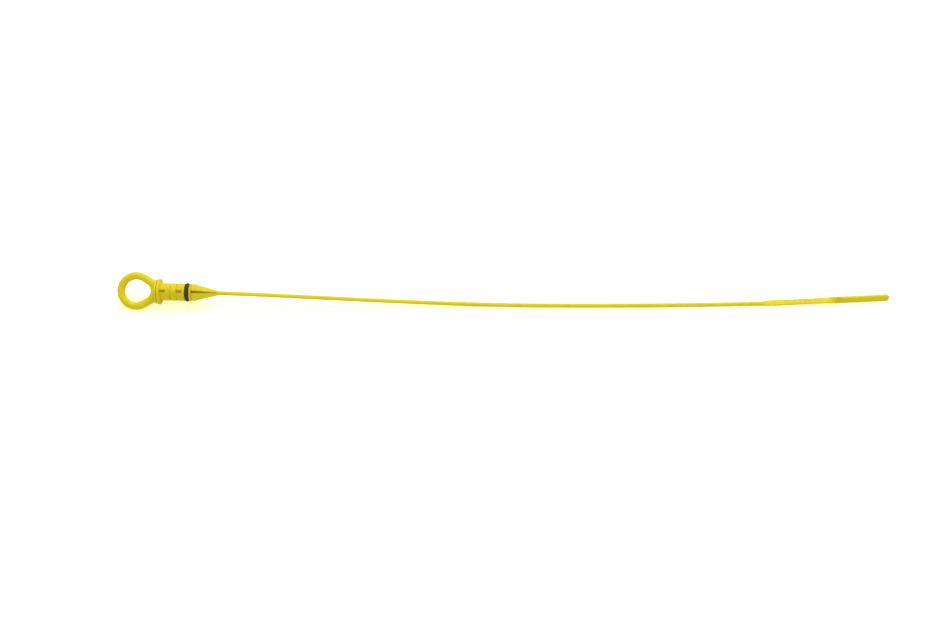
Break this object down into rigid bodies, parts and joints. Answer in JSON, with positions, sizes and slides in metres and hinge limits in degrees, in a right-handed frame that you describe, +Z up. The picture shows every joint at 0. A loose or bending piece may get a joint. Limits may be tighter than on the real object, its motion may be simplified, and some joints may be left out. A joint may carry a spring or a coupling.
{
  "type": "engine oil dipstick",
  "caption": "Yellow plastic engine oil dipstick with a finger ring, a collar, a sealed neck, a long thin rod and a twisted measuring blade.",
  "frame": {"origin": "centre of the collar's seat face, on the neck's axis", "axes": "+X runs along the neck's axis towards the blade, +Z points up from the surface that the part lies on, and the surface is at z = -9.3 mm"},
  "size_m": [0.5646, 0.032, 0.0186],
  "materials": {
    "yellow_plastic": "satin injection moulding",
    "black_rubber": "smooth moulded rubber"
  },
  "bodies": {
    "root": {"dipstick_moulding": "yellow_plastic", "seal_ring": "black_rubber"}
  },
  "joints": []
}
